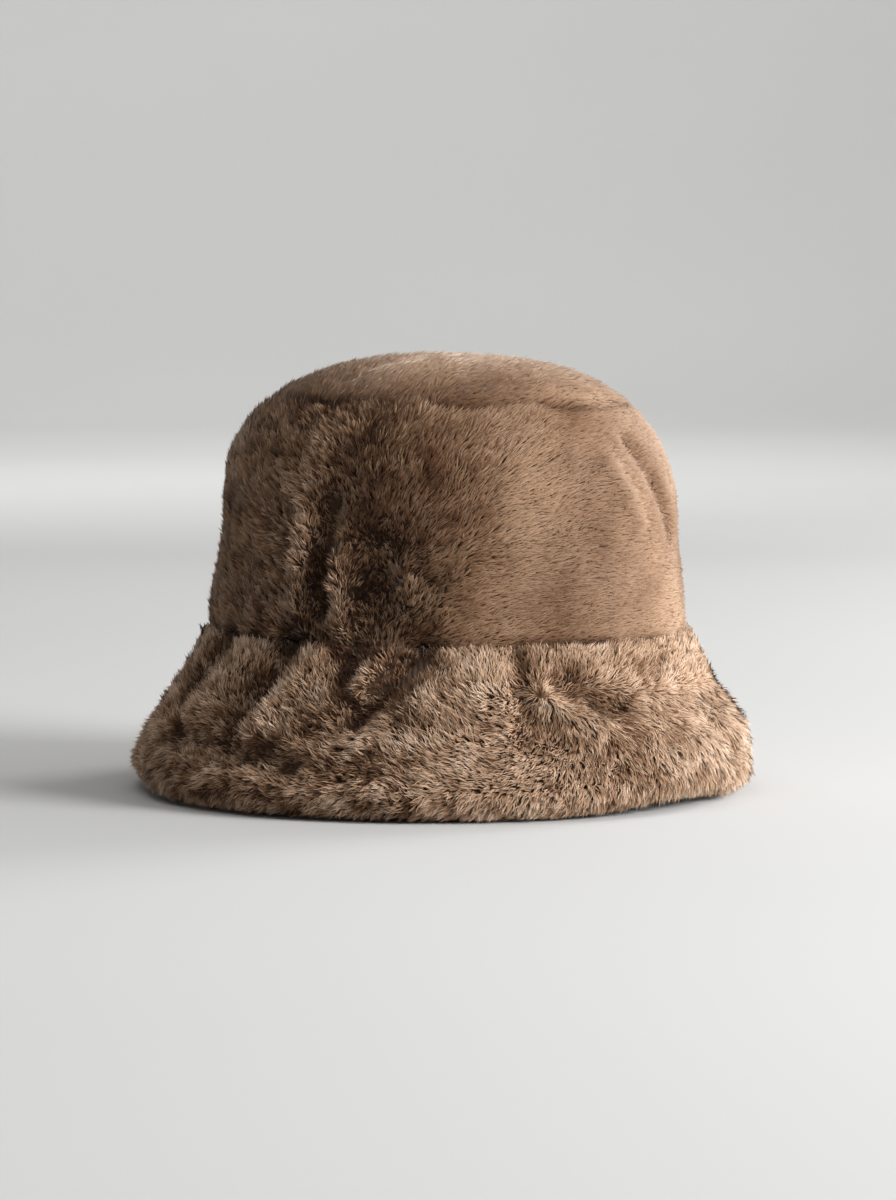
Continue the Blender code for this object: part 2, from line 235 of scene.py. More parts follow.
# The pile of each cloth. A strand stands for a small bundle of fibres, because one of 0.03 mm is too fine
# to show. Depth is from the fur's surface to its roots. Tufts are strands whose tips meet, and locks are
# groups of tufts. A strand leans over from upright by root_lean at its foot and tip_lean at its tip, in
# degrees, where it is ruffled, and by as much more as COMBED says where it is combed flat, within the least
# and most leans. Clump is how far the locks differ, rough how much less the strands share the cloth's
# shading where ruffled, and tone how light the dye is, from 0 to 1.
Pile = namedtuple("Pile", "seed count depth length root_lean tip_lean width tuft lock tuft_pull curl "
                          "clump rough tone")
TIP_PILE = Pile(3, 34000, 0.0036, 0.0060, 24, 60, 0.00050, 0.0017, 0.0060, 0.85, 0.0005, 0.8, 0.70, 0.45)
CROWN_PILE = Pile(5, 130000, 0.0036, 0.0060, 24, 60, 0.00050, 0.0017, 0.0060, 0.85, 0.0005, 0.8, 0.70, 0.45)
BRIM_PILE = Pile(8, 114000, 0.0044, 0.0062, 24, 64, 0.00050, 0.0017, 0.0050, 0.85, 0.0010, 0.55, 0.36, 0.51)
UNDER_PILE = Pile(13, 32000, 0.0052, 0.0086, 20, 58, 0.00056, 0.0022, 0.0075, 0.75, 0.0008, 0.8, 0.40, 0.50)
COMBED_ROOT_LEAN = 22
COMBED_TIP_LEAN = 24
ROOT_LEANS = (4, 60)
TIP_LEANS = (20, 88)

# Ruffled pile swirls over broad and short stretches of cloth, and each tuft, lock and strand turns its own
# way, in degrees. A strand does so a little where it is combed too.
BROAD_STRETCH = 0.045
BROAD_SWIRL = 12
SHORT_STRETCH = 0.016
SHORT_SWIRL = 14
TUFT_TURN = 16
LOCK_TURN = 14
STRAND_TURN = 4
RUFFLED_TURN = 5

# Each also leans its own way, in degrees, and so do patches of cloth
PATCH = 0.012
PATCH_LEAN = 9
TUFT_LEAN = 9
LOCK_LEAN = 9
STRAND_LEAN = 2.5
RUFFLED_LEAN = 2.5

# How far the strands, tufts and locks differ in length, the least and most, and how much longer combed pile
# is, as shares of the pile's own length
STRAND_LENGTH = 0.10
TUFT_LENGTH = 0.10
LOCK_LENGTH = 0.08
LENGTHS = (0.6, 1.35)
COMBED_LONGER = 0.15
# The pile is longer on a ridge and shorter in a groove: by a share for each metre of the fold's push
PUSH_LENGTH = 60
PUSH_LENGTHS = (0.72, 1.12)

# How a strand bends. Its middle and its tip are drawn to its tuft's middle, by these shares of the tuft's
# pull, and by some of it where it is combed. Its tip is drawn to its lock's middle too, and curls back.
COMBED_PULL = 0.15
MIDDLE_PULL = 0.35
TIP_PULL = 0.65
LOCK_PULL = 0.10
CURL_BACK = 0.5

# A strand is wider or narrower than its pile's width, wider where combed, and rolled about its own length.
# Its ridge stands over its two edges by a share of its width.
WIDTHS = (0.75, 1.25)
COMBED_WIDER = 0.3
ROLL = radians(38)
RIDGE = 0.5

# How far a strand's shading follows the cloth's surface, as dense soft pile does, and not its own flat side:
# where the pile is combed. The shading turns off to its two edges, as if it were round.
COMBED_SOFTNESS = 0.94
EDGE_TURN = 1.2

# The dye is uneven over long stretches of cloth and in spots, and differs between tufts, locks and strands,
# the most where they are ruffled. A fold's ridge is painted lighter, as painted highlight, and its groove
# darker, as painted shade, by a share for each metre of the fold's push, within the least and most shares
LONG_STRETCH = 0.05
LONG_SHADE = 0.05
FOLD_PAINTED_LIGHT = 40
FOLD_PAINTED_LIGHTS = (-0.15, 0.2)
SPOT = 0.014
SPOT_SHADE = 0.015
RUFFLED_SPOT = 0.08
TUFT_SHADE = 0.26
LOCK_SHADE = 0.20
STRAND_SHADE = 0.03
RUFFLED_SHADE = 0.08
SHADES = (0.03, 0.97)

# How far up its colours a combed strand begins, as less of its dark root, partly painted shade, shows
COMBED_PALENESS = 0.48

# How far down from the crown's seam the brim's pile curls up over the seam, and how much more upright its
# roots and tips, and how much shorter, it is there
LIP_REACH = 0.0055
LIP_UNEVEN = 0.35
LIP_STRETCH = 0.03
LIP_ROOTS_UP = 0.3
LIP_TIPS_UP = 0.35
LIP_SHORTER = 0.25

# The crown's foot bulges out over the brim on the wearer's right. The pile below it is painted dark, as
# painted shade under the bulge, and pressed, so that it curls up less over the seam.
OVERHANG_TURN = 92
OVERHANG_SPAN = 20
OVERHANG_REACH = 0.0085
OVERHANG_PAINTED_SHADE = 0.42
OVERHANG_PRESS = 0.7

# The pile sinks in along the crown's seams, and is painted darker there as painted shade in the seam's
# groove,
# more in some places than in others: by an even share and an uneven one, within the least and most shares
SEAM_REACH = 0.0032
SEAM_DIP = 0.0018
SEAM_PAINTED_SHADE = 0.34
SEAM_EVEN = 0.62
SEAM_UNEVEN = 0.40
SEAM_STRETCH = 0.028
SEAM_SHARES = (0.05, 1.0)

# Where the pile that the hat rests on is pressed, just above the surface
PRESSED_LOW = 0.0003
PRESSED_HIGH = 0.0012

# The grids of the backings, and the ribs of their knit
BACKING_COLUMNS = 150
TIP_ROWS = 20
SIDE_ROWS = 32
BRIM_ROWS = 33
UNDER_ROWS = 24
BACKING_WALL = 0.0012
RIBS_ROUND = 300
# The brim's backing is turned in under the foot of the crown, where it is sewn
TURNED_IN = 0.005
TURNED_UP = 0.0055
# Points nearer than this are one, where a backing's two ends meet and at the middle of the tip
CLOSED = 0.00005

# The camera looks from the wearer's right, a little in front, as in the photograph
PHOTO_HEIGHT = 1200
CAMERA_AZIMUTH = radians(-63.5)
CAMERA_ELEVATION = radians(5)
CAMERA_DISTANCE = 2.0
CAMERA_AIM = Vector((0, -0.002, 0.082))
MM_PER_PIXEL = 0.44
SENSOR = 36.0


# The form of the hat

def turn_between(first, second):
    """The shorter way round from one turn to another, in degrees."""
    return (second - first + 180) % 360 - 180


def fold_push(turn, height):
    """How far the folds push the cloth out at places on the hat."""
    per_degree = SEAM_MEAN * pi / 180
    total = np.zeros(np.shape(turn))
    for fold in FOLDS:
        across = turn_between(fold.start_turn, turn) * per_degree
        up = height - fold.start_height
        run_across = turn_between(fold.start_turn, fold.end_turn) * per_degree
        run_up = fold.end_height - fold.start_height
        share = (across * run_across + up * run_up) / (run_across ** 2 + run_up ** 2)
        share = np.clip(share, 0, 1)
        away = np.hypot(across - share * run_across, up - share * run_up)
        total += fold.push * np.exp(-(away / fold.half_width) ** 2)
    return total


def rim_lift(turn):
    """How far the rim lifts off the surface it rests on."""
    total = np.zeros(np.shape(turn))
    for lift in RIM_LIFTS:
        share = np.minimum(np.abs(turn_between(lift.turn, turn)) / lift.half_width, 1)
        total += lift.rise * (1 + np.cos(pi * share)) / 2
    return total


def crown_profile(place):
    """The crown: places 0 to 1 are up its wall, and 1 to 2 over the cap to the middle of the tip."""
    up = np.clip(place, 0, 1)
    phase = np.clip(place - 1, 0, 1) * pi / 2
    across = np.cos(phase) ** (2 / CAP_ROUNDNESS)
    out = -WALL_TAPER * np.where(place < 1, up ** TAPER_CURVE, across)
    cap_height = WALL_TOP + (CROWN_TOP - WALL_TOP) * np.sin(phase) ** (2 / CAP_ROUNDNESS)
    wall_height = SEAM_HEIGHT + (WALL_TOP - SEAM_HEIGHT) * up
    return across, out, np.where(place < 1, wall_height, cap_height)


def rim_point(angle):
    """The rolled rim's round: distance out from the seam's oval, and height."""
    return RIM_OUT + RIM_RADIUS * np.cos(angle), RIM_RADIUS * (1 + np.sin(angle))


def brim_profile(place):
    """The upper brim: places below 0 are round its lip, 0 to 1 down its flare, and 1 to 2 round the rim."""
    down = np.clip(place, 0, 1)
    over = np.clip(-place / LIP_PLACES, 0, 1) * pi / 2
    foot_out, foot_height = rim_point(RIM_OUTER_ANGLE)
    flare_out = BRIM_LIP * np.cos(over) + (foot_out - BRIM_LIP) * down + BRIM_BULGE * np.sin(pi * down)
    flare_height = SEAM_HEIGHT + (foot_height - SEAM_HEIGHT) * down + LIP_ROUND * np.sin(over)
    round_rim = np.clip(place - 1, 0, 1)
    rim_out, rim_height = rim_point(RIM_OUTER_ANGLE + (RIM_SOLE_ANGLE - RIM_OUTER_ANGLE) * round_rim)
    return (np.ones(np.shape(place)), np.where(place < 1, flare_out, rim_out),
            np.where(place < 1, flare_height, rim_height))


def under_profile(place):
    """The under-brim: places 0 to 1 are down from the head opening, and 1 to 2 round the rim's inner half."""
    down = np.clip(place, 0, 1)
    foot_out, foot_height = rim_point(RIM_INNER_ANGLE)
    fall_out = -CROWN_WALL + (foot_out + CROWN_WALL) * down
    fall_height = SEAM_HEIGHT + (foot_height - SEAM_HEIGHT) * down
    round_rim = np.clip(place - 1, 0, 1)
    rim_out, rim_height = rim_point(RIM_INNER_ANGLE + (pi - RIM_SOLE_ANGLE - RIM_INNER_ANGLE) * round_rim)
    return (np.ones(np.shape(place)), np.where(place < 1, fall_out, rim_out),
            np.where(place < 1, fall_height, rim_height))


# A sheet of the hat's cloth. Its places run 1 up or -1 down the hat, it faces 1 outwards or -1 inwards, it
# hangs 1 as the brim does or 0, and its ends are the first and last place. It shows these shares of the
# folds at these places, and the way it is brushed changes over about nap_reach.
Sheet = namedtuple("Sheet", "profile runs faces hangs first last fold_places fold_shares nap_reach")
CROWN = Sheet(crown_profile, 1, 1, 0, 0, 2, (0, 2), (1, 1), 0.015)
BRIM = Sheet(brim_profile, -1, 1, 1, -LIP_PLACES, 2, (0, 1, 1.2, 1.8, 2), (1, 1, 0.5, 0.5, 0), 0.010)
UNDER = Sheet(under_profile, -1, -1, 1, 0, 2, (0, 1, 1.1), (-0.6, -0.6, 0), 0.016)

# How far apart two places, or two turns, are between which the cloth's direction is measured
STEP = 0.004
TURN_STEP = 0.25
# Shorter than any way between two points of the hat
NO_LENGTH = 1e-12


def cloth_point(sheet, turn, place):
    """Points on the fur's surface."""
    share, out, height = sheet.profile(place)
    share_a, out_a, height_a = sheet.profile(np.maximum(place - STEP, sheet.first))
    share_b, out_b, height_b = sheet.profile(np.minimum(place + STEP, sheet.last))
    down_out = -sheet.runs * ((share_b - share_a) * SEAM_MEAN + out_b - out_a)
    down_up = -sheet.runs * (height_b - height_a)
    length = np.hypot(down_out, down_up)
    face_out = -sheet.faces * down_up / length
    face_up = sheet.faces * down_out / length
    lift = fold_push(turn, height) * np.interp(place, sheet.fold_places, sheet.fold_shares)
    down = np.clip(place, 0, 1) * sheet.hangs
    angle = np.radians(turn)
    spread = -(SIDE_SPREAD * np.cos(2 * angle) + BACK_SPREAD * np.cos(angle)) * down
    out = out + lift * face_out + spread
    height = height + lift * face_up + rim_lift(turn) * down ** 2
    side = (SEAM_SIDE * share + out) * (1 - BACK_FULLNESS * np.cos(angle))
    front = SEAM_FRONT * share + out
    forward = -front * np.cos(angle) - OPENING_FORWARD
    return np.stack([-side * np.sin(angle), forward, np.maximum(height, 0)], -1)


def unit(vectors):
    """The vectors' directions, each of length 1."""
    return vectors / np.maximum(np.linalg.norm(vectors, axis=-1, keepdims=True), NO_LENGTH)


def cloth_frame(sheet, turn, place):
    """Points on the fur's surface, with the ways round the hat, down the cloth and out of the cloth there."""
    here = cloth_point(sheet, turn, place)
    around = unit(cloth_point(sheet, turn + TURN_STEP, place) - cloth_point(sheet, turn - TURN_STEP, place))
    after = cloth_point(sheet, turn, np.minimum(place + STEP, sheet.last))
    before = cloth_point(sheet, turn, np.maximum(place - STEP, sheet.first))
    along = after - before
    down = unit(-sheet.runs * along)
    face = unit(sheet.faces * np.cross(around, down))
    return here, around, down, face


# Random and uneven values

WAVE_COUNT = 14
WAVE_SIZES = (0.7, 1.6)
PROFILE_STEPS = 600

# The steps from one root to the next, as shares of the way round and along, that spread roots evenly over a
# plane: one over the plastic number, and one over its square
ROUND_STEP = 0.7548776662
ALONG_STEP = 0.5698402910
# How far a root is shifted from there, as a share of the room it has
ROOT_SHIFT = 0.3

# A tuft's middle is shifted by up to this share of a tuft from its place in its row. Round a row are at least
# the fewest tufts, and beyond the cloth's first and last rows are spare ones.
TUFT_SHIFT = 0.38
FEWEST_TUFTS = 3
SPARE_ROWS = 2

# How much a row of a brushing table counts just beyond its reach, where no other row is near
FAR_NAP = 0.02


def waves(points, size, random):
    """A soft uneven value about 0 at each point, whose hills and hollows are about size across."""
    total = np.zeros(len(points))
    for _ in range(WAVE_COUNT):
        way = unit(random.normal(size=3))
        phase = points @ way * 2 * pi / size / random.uniform(*WAVE_SIZES)
        total += np.sin(phase + random.uniform(0, 2 * pi))
    return total / np.sqrt(WAVE_COUNT / 2)


def spread_roots(sheet, first, last, count, random):
    """Strand roots spread evenly over a sheet: their turns, places, distances along the cloth and radii."""
    places = np.linspace(first, last, PROFILE_STEPS)
    share, out, height = sheet.profile(places)
    radius = SEAM_MEAN * share + out
    step = np.hypot(np.diff(radius), np.diff(height))
    along = np.concatenate([[0], np.cumsum(step)])
    area = np.concatenate([[0], np.cumsum(step * (radius[1:] + radius[:-1]) / 2)])
    number = np.arange(count)
    turn = (number * ROUND_STEP + random.uniform(-ROOT_SHIFT, ROOT_SHIFT, count) / np.sqrt(count)) % 1 * 360
    level = (number * ALONG_STEP + random.uniform(-ROOT_SHIFT, ROOT_SHIFT, count) / np.sqrt(count)) % 1
    place = np.interp(level * area[-1], area, places)
    return turn, place, np.interp(place, places, along), np.interp(place, places, radius)


# Which group each strand belongs to, and the way to the group's middle: round the hat and along the cloth
Grouping = namedtuple("Grouping", "number round along")


def group_strands(turn, radius, along, size, random):
    """Groups the strands into tufts or locks of about one size, in staggered rows round the hat."""
    rows = int(along.max() / size) + 2 * SPARE_ROWS
    row_along = (np.arange(rows) - SPARE_ROWS + 0.5) * size
    order = np.argsort(along)
    row_radius = np.interp(row_along, along[order], radius[order])
    counts = np.maximum(np.round(2 * pi * row_radius / size).astype(int), FEWEST_TUFTS)
    starts = np.concatenate([[0], np.cumsum(counts)[:-1]])
    shift = random.uniform(-TUFT_SHIFT, TUFT_SHIFT, (counts.sum(), 2))
    best = np.full(len(turn), np.inf)
    number = np.zeros(len(turn), int)
    away_round = np.zeros(len(turn))
    away_along = np.zeros(len(turn))
    own_row = np.floor(along / size).astype(int) + SPARE_ROWS
    for row_step in (-1, 0, 1):
        row = np.clip(own_row + row_step, 0, rows - 1)
        own_column = np.floor(turn / 360 * counts[row]).astype(int)
        for column_step in (-1, 0, 1):
            column = (own_column + column_step) % counts[row]
            group = starts[row] + column
            group_turn = (column + 0.5 + shift[group, 0]) * 360 / counts[row]
            to_round = np.radians(turn_between(turn, group_turn)) * radius
            to_along = (row - SPARE_ROWS + 0.5 + shift[group, 1]) * size - along
            away = np.hypot(to_round, to_along)
            near = away < best
            best = np.where(near, away, best)
            number = np.where(near, group, number)
            away_round = np.where(near, to_round, away_round)
            away_along = np.where(near, to_along, away_along)
    return Grouping(number, away_round, away_along)


def brushed(naps, reach, turn, height):
    """The heading, in degrees, and the ruffle of the pile at places on the hat."""
    per_degree = SEAM_MEAN * pi / 180
    aside = np.zeros(len(turn))
    down = np.zeros(len(turn))
    ruffle = np.zeros(len(turn))
    total = np.zeros(len(turn))
    for nap in naps:
        away = np.hypot(turn_between(nap.turn, turn) * per_degree, height - nap.height)
        weight = np.exp(-(away / reach) ** 2) + FAR_NAP / (1 + (away / reach) ** 4)
        aside += weight * sin(radians(nap.heading))
        down += weight * cos(radians(nap.heading))
        ruffle += weight * nap.ruffle
        total += weight
    return np.degrees(np.arctan2(aside, down)), ruffle / total


# The fur

# Where strands are rooted: their turn, their distance along the cloth, their place on the fur's surface,
# and the ways round the hat, down the cloth and out of it there
Roots = namedtuple("Roots", "turn along here around down face")

# Random values about 0, by what they change: those of each strand, and those of its tuft and its lock
StrandLuck = namedtuple("StrandLuck", "heading lean length curl roll")
GroupLuck = namedtuple("GroupLuck", "heading lean length shade")
Luck = namedtuple("Luck", "tuft lock strand")


def draw_luck(kind, count, random):
    """Random values about 0: a row for each of count things, and a column for each value of the kind."""
    return random.normal(size=(count, len(kind._fields)))


def lie_of_pile(sheet, pile, naps, roots, luck, random):
    """The pile's heading at its roots, in radians, its ruffle, and how much more it leans, in degrees."""
    heading, ruffle = brushed(naps, sheet.nap_reach, roots.turn, roots.here[:, 2])
    swirl = BROAD_SWIRL * waves(roots.here, BROAD_STRETCH, random)
    swirl = swirl + SHORT_SWIRL * waves(roots.here, SHORT_STRETCH, random)
    swirl = swirl + TUFT_TURN * luck.tuft.heading + pile.clump * LOCK_TURN * luck.lock.heading
    heading = heading + ruffle * swirl
    heading = np.radians(heading + (STRAND_TURN + RUFFLED_TURN * ruffle) * luck.strand.heading)
    patches = LOCK_LEAN * luck.lock.lean + PATCH_LEAN * waves(roots.here, PATCH, random)
    lean = ruffle * (TUFT_LEAN * luck.tuft.lean + pile.clump * patches)
    return heading, ruffle, lean + (STRAND_LEAN + RUFFLED_LEAN * ruffle) * luck.strand.lean


def sewn_edges(sheet, seams, roots, random):
    """How far pile curls over the crown's seam, lies in painted shade under its foot, and sinks into a seam.
    """
    below = roots.along - roots.along.min()
    upper_brim = sheet.hangs * (sheet.faces > 0)
    reach = LIP_REACH * (1 + LIP_UNEVEN * waves(roots.here, LIP_STRETCH, random))
    overhung = np.exp(-(turn_between(OVERHANG_TURN, roots.turn) / OVERHANG_SPAN) ** 4)
    lip = upper_brim * np.exp(-(below / reach) ** 2) * (1 - OVERHANG_PRESS * overhung)
    # Where the brim's pile lies under the crown's foot, to be painted dark as painted shade
    under_overhang = upper_brim * overhung * np.exp(-(below / OVERHANG_REACH) ** 2)
    seam = np.zeros(len(below))
    for end in seams:
        away = below if end == "first" else roots.along.max() - roots.along
        seam += np.exp(-(away / SEAM_REACH) ** 2)
    seam *= np.clip(SEAM_EVEN + SEAM_UNEVEN * waves(roots.here, SEAM_STRETCH, random), *SEAM_SHARES)
    return lip, under_overhang, seam


def strand_lengths(pile, ruffle, push, lip, luck):
    """Each strand's length."""
    grouped = TUFT_LENGTH * luck.tuft.length + LOCK_LENGTH * luck.lock.length
    length = pile.length * (1 + STRAND_LENGTH * luck.strand.length + ruffle * grouped)
    length = np.clip(length, LENGTHS[0] * pile.length, LENGTHS[1] * pile.length)
    pushed = np.clip(1 + push * PUSH_LENGTH, *PUSH_LENGTHS)
    return length * (pushed * (1 - LIP_SHORTER * lip) * (1 + COMBED_LONGER - COMBED_LONGER * ruffle))


def bend_strands(sheet, pile, roots, heading, ruffle, leans, length, tufts, locks, curls):
    """The roots, middles and tips of strands that bend over, towards the middle of their tuft and lock."""
    way = unit(np.sin(heading)[:, None] * roots.around + np.cos(heading)[:, None] * roots.down)
    curl = pile.curl * curls[:, None] * np.cross(way, roots.face)
    low_lean, high_lean = (lean[:, None] for lean in leans)
    half = length[:, None] * 0.5
    pull = (ruffle * (1 - COMBED_PULL) + COMBED_PULL)[:, None] * pile.tuft_pull
    to_tuft = tufts.round[:, None] * roots.around - sheet.runs * tufts.along[:, None] * roots.down
    to_lock = locks.round[:, None] * roots.around - sheet.runs * locks.along[:, None] * roots.down
    root = roots.here - roots.face * pile.depth
    middle = root + half * (np.cos(low_lean) * roots.face + np.sin(low_lean) * way)
    middle = middle + curl + to_tuft * pull * MIDDLE_PULL
    tip = middle + half * (np.cos(high_lean) * roots.face + np.sin(high_lean) * way)
    tip = tip + to_tuft * pull * TIP_PULL
    tip += to_lock * LOCK_PULL * ruffle[:, None] - curl * CURL_BACK
    return root, middle, tip


def strand_shades(pile, here, ruffle, push, under_overhang, seam, luck, random):
    """How light each strand is, from 0 to 1: its dye, with painted shade and highlight at folds and seams."""
    shade = pile.tone + LONG_SHADE * waves(here, LONG_STRETCH, random)
    # Painted highlight on a fold's ridge and painted shade in its groove
    shade += np.clip(push * FOLD_PAINTED_LIGHT, *FOLD_PAINTED_LIGHTS)
    # Painted shade in the seams' grooves and under the crown's bulging foot
    shade -= SEAM_PAINTED_SHADE * seam + OVERHANG_PAINTED_SHADE * under_overhang
    shade += (SPOT_SHADE + RUFFLED_SPOT * ruffle ** 2) * waves(here, SPOT, random)
    shade += ruffle ** 2 * pile.clump * (TUFT_SHADE * luck.tuft.shade + LOCK_SHADE * luck.lock.shade)
    shade += (STRAND_SHADE + RUFFLED_SHADE * pile.clump * ruffle ** 2) * random.normal(size=len(here))
    return np.clip(shade, *SHADES)


def grow_fur(name, sheet, first, last, pile, naps, material, halves=1, seams=()):
    """Grows one cloth's pile as flat tapering strands, and makes it a piece, or two pieces, right and left.

    The seams are the ends of the cloth, "first" or "last", where the pile dips into a sewn seam.
    """
    random = np.random.default_rng(pile.seed)
    turn, place, along, radius = spread_roots(sheet, first, last, pile.count, random)
    roots = Roots(turn, along, *cloth_frame(sheet, turn, place))
    push = fold_push(turn, roots.here[:, 2])
    tufts = group_strands(turn, radius, along, pile.tuft, random)
    locks = group_strands(turn, radius, along, pile.lock, random)
    luck = Luck(GroupLuck(*draw_luck(GroupLuck, tufts.number.max() + 1, random)[tufts.number].T),
                GroupLuck(*draw_luck(GroupLuck, locks.number.max() + 1, random)[locks.number].T),
                StrandLuck(*draw_luck(StrandLuck, pile.count, random).T))
    heading, ruffle, lean = lie_of_pile(sheet, pile, naps, roots, luck, random)
    lip, under_overhang, seam = sewn_edges(sheet, seams, roots, random)
    roots = roots._replace(here=roots.here - roots.face * (SEAM_DIP * seam)[:, None])

    root_lean = np.clip(pile.root_lean + COMBED_ROOT_LEAN * (1 - ruffle) + lean, *ROOT_LEANS)
    tip_lean = np.clip(pile.tip_lean + COMBED_TIP_LEAN * (1 - ruffle) + lean, *TIP_LEANS)
    leans = np.radians(root_lean * (1 - LIP_ROOTS_UP * lip)), np.radians(tip_lean * (1 - LIP_TIPS_UP * lip))
    length = strand_lengths(pile, ruffle, push, lip, luck)
    root, middle, tip = bend_strands(sheet, pile, roots, heading, ruffle, leans, length, tufts, locks,
                                     luck.strand.curl)

    # The pile that the hat rests on is pressed flat, just above the surface
    pressed = random.uniform(PRESSED_LOW, PRESSED_HIGH, (pile.count, 3))
    for points, floor in ((root, pressed[:, 0]), (middle, pressed[:, 1]), (tip, pressed[:, 2])):
        points[:, 2] = np.maximum(points[:, 2], floor)

    # Each strand is a flat blade with a ridge up its outer side, rolled a little about its own length
    roll = ROLL * luck.strand.roll[:, None]
    strand = unit(tip - root)
    flat = unit(np.cross(strand, roots.face))
    flat = unit(np.cos(roll) * flat + np.sin(roll) * np.cross(strand, flat))
    over = unit(np.cross(flat, strand))
    widen = (1 + COMBED_WIDER - COMBED_WIDER * ruffle)[:, None]
    width = pile.width * random.uniform(*WIDTHS, (pile.count, 1)) * widen
    edge = middle - over * width * RIDGE
    corners = np.stack([root, edge - flat * width / 2, edge + flat * width / 2, tip, middle], 1)
    corners[:, :, 2] = np.maximum(corners[:, :, 2], PRESSED_LOW)

    # Its shading lies between the cloth's and its own
    softness = (COMBED_SOFTNESS - pile.rough * ruffle)[:, None]
    shading = [unit(softness * roots.face + (1 - softness) * unit(over + side * EDGE_TURN * flat))
               for side in STRAND_SIDES]
    shading = np.stack(shading, 1)
    shade = strand_shades(pile, roots.here, ruffle, push, under_overhang, seam, luck, random)
    paleness = COMBED_PALENESS * (1 - ruffle)
    if halves == 1:
        return [fur_piece(name, corners, shading, shade, paleness, material)]
    right = turn < 180
    sides = ((name + "_right", right), (name + "_left", ~right))
    return [fur_piece(side_name, corners[side], shading[side], shade[side], paleness[side], material)
            for side_name, side in sides]


# A strand's corners are its root, its two edges and its tip, and the middle of its ridge: the side that each
# is on, how far along the strand it is, and the three triangles between them. Its two edges differ a little
# in shade.
STRAND_SIDES = (0, -1, 1, 0, 0)
STRAND_LEVELS = (0, 0.5, 0.5, 1, 0.5)
STRAND_LOOPS = (0, 2, 1, 1, 4, 3, 4, 2, 3)
SHADE_WIDTH = 0.01


def fur_piece(name, corners, shading, shade, paleness, material):
    """Joins strands, each flat at its root and ridged towards its tip, into one mesh.

    Its UV map holds each strand's shade across, its dye with the painted light and shade of folds and seams,
    and up how far along the strand's colours a point is. Its attribute pile_face holds the way that each
    point's shading faces.
    """
    count = len(corners)
    points = len(STRAND_SIDES)
    sides = np.array(STRAND_SIDES)[list(STRAND_LOOPS)]
    levels = np.array(STRAND_LEVELS)[list(STRAND_LOOPS)]
    loops = np.arange(count)[:, None] * points + np.array(STRAND_LOOPS)
    mesh = bpy.data.meshes.new(name)
    mesh.vertices.add(count * points)
    mesh.vertices.foreach_set("co", corners.reshape(-1).astype(np.float32))
    mesh.loops.add(loops.size)
    mesh.loops.foreach_set("vertex_index", loops.reshape(-1).astype(np.int32))
    mesh.polygons.add(loops.size // 3)
    mesh.polygons.foreach_set("loop_start", np.arange(0, loops.size, 3).astype(np.int32))
    mesh.update(calc_edges=True)
    uv = mesh.uv_layers.new(name="OFBake")
    across = shade[:, None] + sides * SHADE_WIDTH
    up = paleness[:, None] + (1 - paleness[:, None]) * levels
    uv.uv.foreach_set("vector", np.stack([across, up], -1).reshape(-1).astype(np.float32))
    facing = mesh.attributes.new("pile_face", "FLOAT_VECTOR", "POINT")
    facing.data.foreach_set("vector", shading.reshape(-1).astype(np.float32))
    mesh.shade_smooth()
    mesh.normals_split_custom_set_from_vertices(shading.reshape(-1, 3))
    mesh.materials.append(material)
    piece = bpy.data.objects.new(name, mesh)
    bpy.context.scene.collection.objects.link(piece)
    return piece


# The backings

def backing(name, sheet, first, last, rows, depth, wall, outer, inner):
    """The knitted cloth that a pile grows from: a flat grid wrapped to the hat, then given its thickness.

    Places below 0 are turned in and up under the foot of the crown.
    """
    bpy.ops.object.select_all(action="DESELECT")
    bpy.ops.mesh.primitive_grid_add(x_subdivisions=BACKING_COLUMNS, y_subdivisions=rows, size=1)
    piece = bpy.context.object
    piece.name = name
    piece.data.name = name
    flat = np.zeros(len(piece.data.vertices) * 3)
    piece.data.vertices.foreach_get("co", flat)
    flat = flat.reshape(-1, 3)
    turn = (flat[:, 0] + 0.5) * 360
    place = first + (last - first) * (flat[:, 1] + 0.5)
    here, _, _, face = cloth_frame(sheet, turn, np.maximum(place, 0))
    points = here - face * depth
    turned = np.clip(-place / LIP_PLACES, 0, 1)[:, None]
    points += turned * (TURNED_UP * np.array((0, 0, 1)) - TURNED_IN * unit(points * (1, 1, 0)))
    points[:, 2] = np.maximum(points[:, 2], PRESSED_HIGH)
    piece.data.vertices.foreach_set("co", points.reshape(-1))
    piece.data.update()
    bpy.ops.object.mode_set(mode="EDIT")
    bpy.ops.mesh.select_all(action="SELECT")
    bpy.ops.mesh.remove_doubles(threshold=CLOSED)
    if sheet.runs == sheet.faces:
        bpy.ops.mesh.flip_normals()
    bpy.ops.object.mode_set(mode="OBJECT")
    piece.data.materials.append(outer)
    piece.data.materials.append(inner)
    thick = piece.modifiers.new("wall", "SOLIDIFY")
    thick.thickness = wall
    thick.offset = -1
    thick.material_offset = 1
    bpy.ops.object.modifier_apply(modifier=thick.name)
    bpy.ops.object.shade_smooth()
    return piece


# Materials

# Colours along a strand, from its root to its tip: its own colours, partly painted shade in its dark root and
# partly painted sheen in its pale, greyish tip. Also the dye's from dark to light strands, through which the
# painted light and shade of folds and seams is given too
CROWN_STOPS = ((0.0, "#3E2A1A"), (0.35, "#765841"), (0.7, "#B69478"), (1.0, "#DCC4B0"))
BRIM_STOPS = ((0.0, "#422D1E"), (0.35, "#86684F"), (0.7, "#DABA9F"), (1.0, "#FFEBDA"))
DYE_STOPS = ((0.0, "#443224"), (0.3, "#927C68"), (0.6, "#DED3C6"), (1.0, "#FFFFFF"))
ACRYLIC_IOR = 1.49
BRUSHED_SHEEN = 0.50
FLUFFED_SHEEN = 0.25

# Real sizes of the patterns: the specks where matted fibres part and how deep they are, and how high the ribs
# of the knit stand
SPECK = 0.0012
SPECK_DEPTH = 0.0006
RIB_DEPTH = 0.0004
